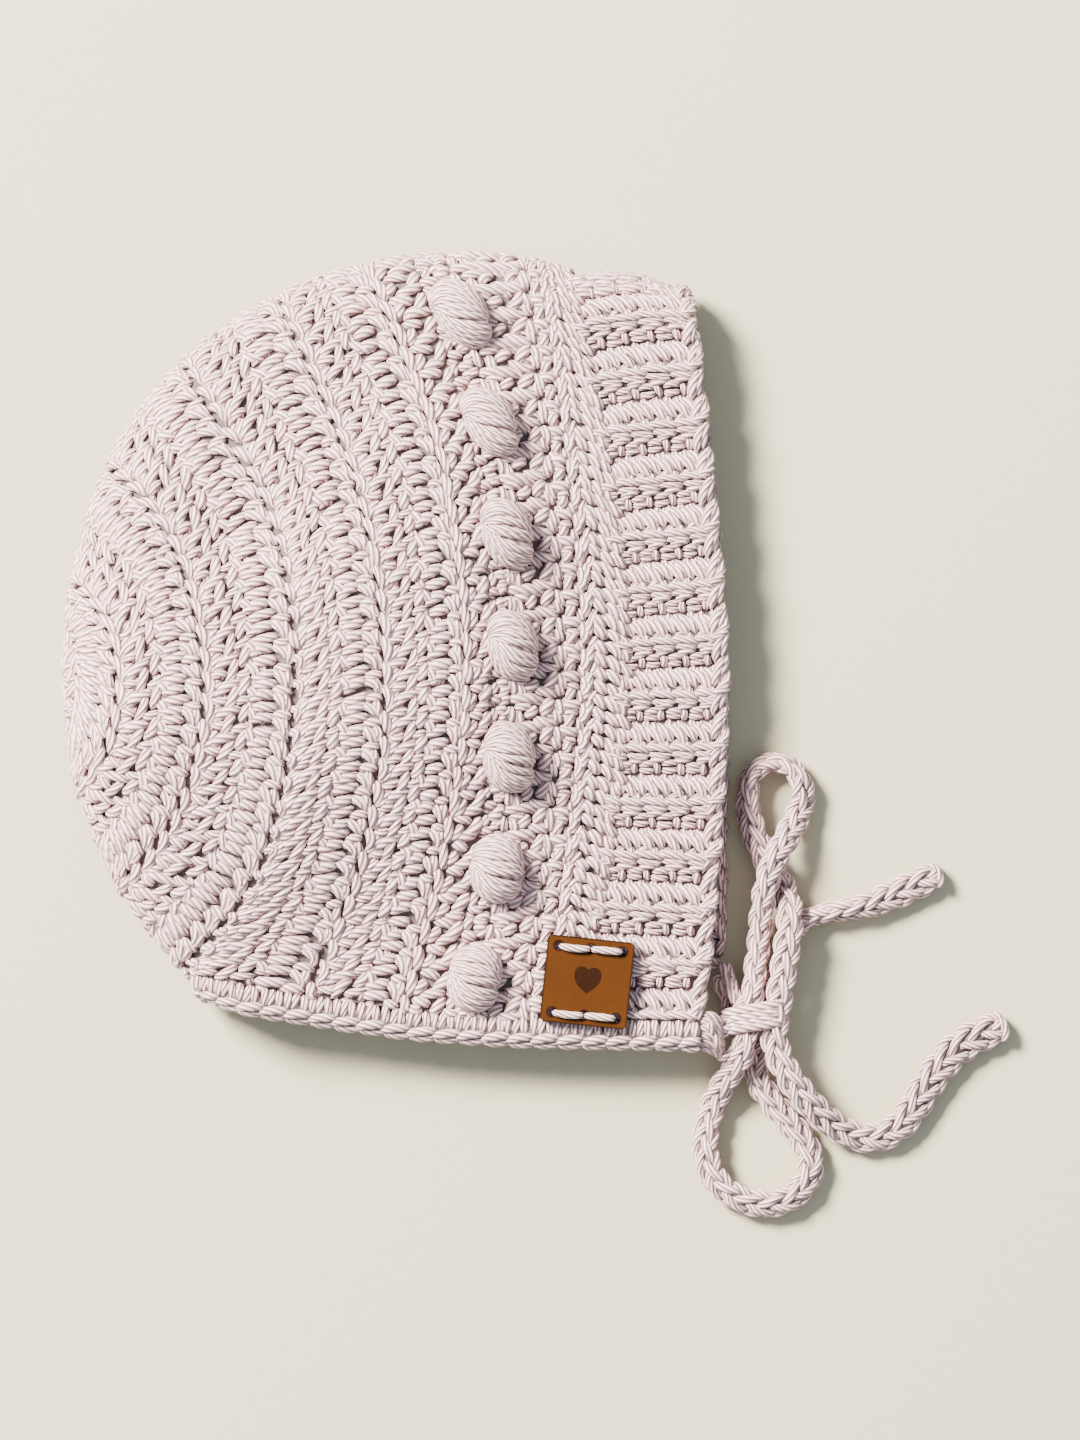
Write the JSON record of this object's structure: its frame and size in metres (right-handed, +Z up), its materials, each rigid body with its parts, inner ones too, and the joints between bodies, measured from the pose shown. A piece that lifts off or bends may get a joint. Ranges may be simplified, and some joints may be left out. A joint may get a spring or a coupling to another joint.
{
  "type": "crocheted baby bonnet",
  "caption": "Crocheted baby bonnet folded flat on its side: hollow round crown, ribbed brim, rows of bobbles, small leather tag, neck edging and ties in a bow.",
  "frame": {"origin": "on the table, under the middle of the folded bonnet without its ties", "axes": "+X towards the face opening, +Y towards the top fold, +Z up from the table through the folded bonnet"},
  "size_m": [0.2042, 0.209, 0.0339],
  "materials": {
    "yarn": "soft plied cotton yarn, pale pinkish mauve",
    "leather": "smooth tan leather with dark burnt edges and holes"
  },
  "bodies": {
    "root": {"crown": "yarn", "brim": "yarn", "front_edging": "yarn", "neck_edging": "yarn", "near_bobble_1": "yarn", "near_bobble_2": "yarn", "near_bobble_3": "yarn", "near_bobble_4": "yarn", "near_bobble_5": "yarn", "near_bobble_6": "yarn", "near_bobble_7": "yarn", "far_bobble_1": "yarn", "far_bobble_2": "yarn", "far_bobble_3": "yarn", "far_bobble_4": "yarn", "far_bobble_5": "yarn", "far_bobble_6": "yarn", "far_bobble_7": "yarn", "leather_tag": "leather", "near_tie_stub": "yarn", "far_tie_stub": "yarn", "upper_loop": "yarn", "lower_loop": "yarn", "upper_tail": "yarn", "lower_tail": "yarn", "bow_knot": "yarn"}
  },
  "joints": []
}
